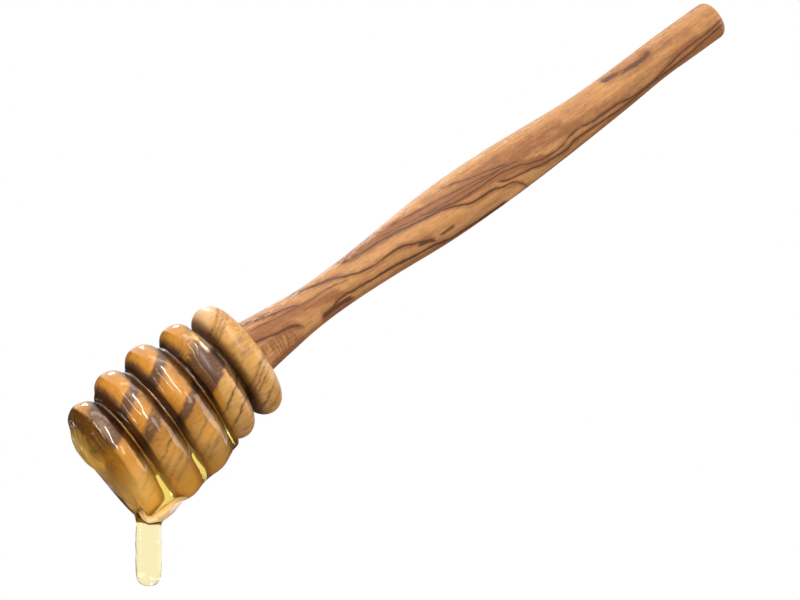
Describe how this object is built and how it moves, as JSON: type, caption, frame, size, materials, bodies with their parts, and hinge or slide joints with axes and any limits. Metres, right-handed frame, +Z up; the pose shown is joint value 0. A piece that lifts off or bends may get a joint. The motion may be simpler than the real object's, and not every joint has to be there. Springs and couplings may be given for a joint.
{
  "type": "honey dipper",
  "caption": "Wooden honey dipper with a ringed barrel head, round collar and glued bowed handle, held head down with honey coating the rings and falling in a thread.",
  "frame": {"origin": "centre of the handle where the fingers hold it, on the straight line from the joint to the handle's end", "axes": "+Z up, against gravity; the dipper lies in the XZ plane and its handle rises towards +X, so its head is low at -X; +Y completes the right hand"},
  "size_m": [0.1435, 0.0298, 0.1207],
  "materials": {
    "head_wood": "oiled olive wood, end and side grain, wet under the honey",
    "handle_wood": "sanded dry olive wood with long dark figure",
    "wood_glue": "set wood glue, hidden in the joint",
    "honey": "clear amber honey, glossy and wet"
  },
  "bodies": {
    "root": {"head": "head_wood", "handle": "handle_wood", "glue_film": "wood_glue", "honey_coat": "honey", "honey_drop": "honey"}
  },
  "joints": []
}
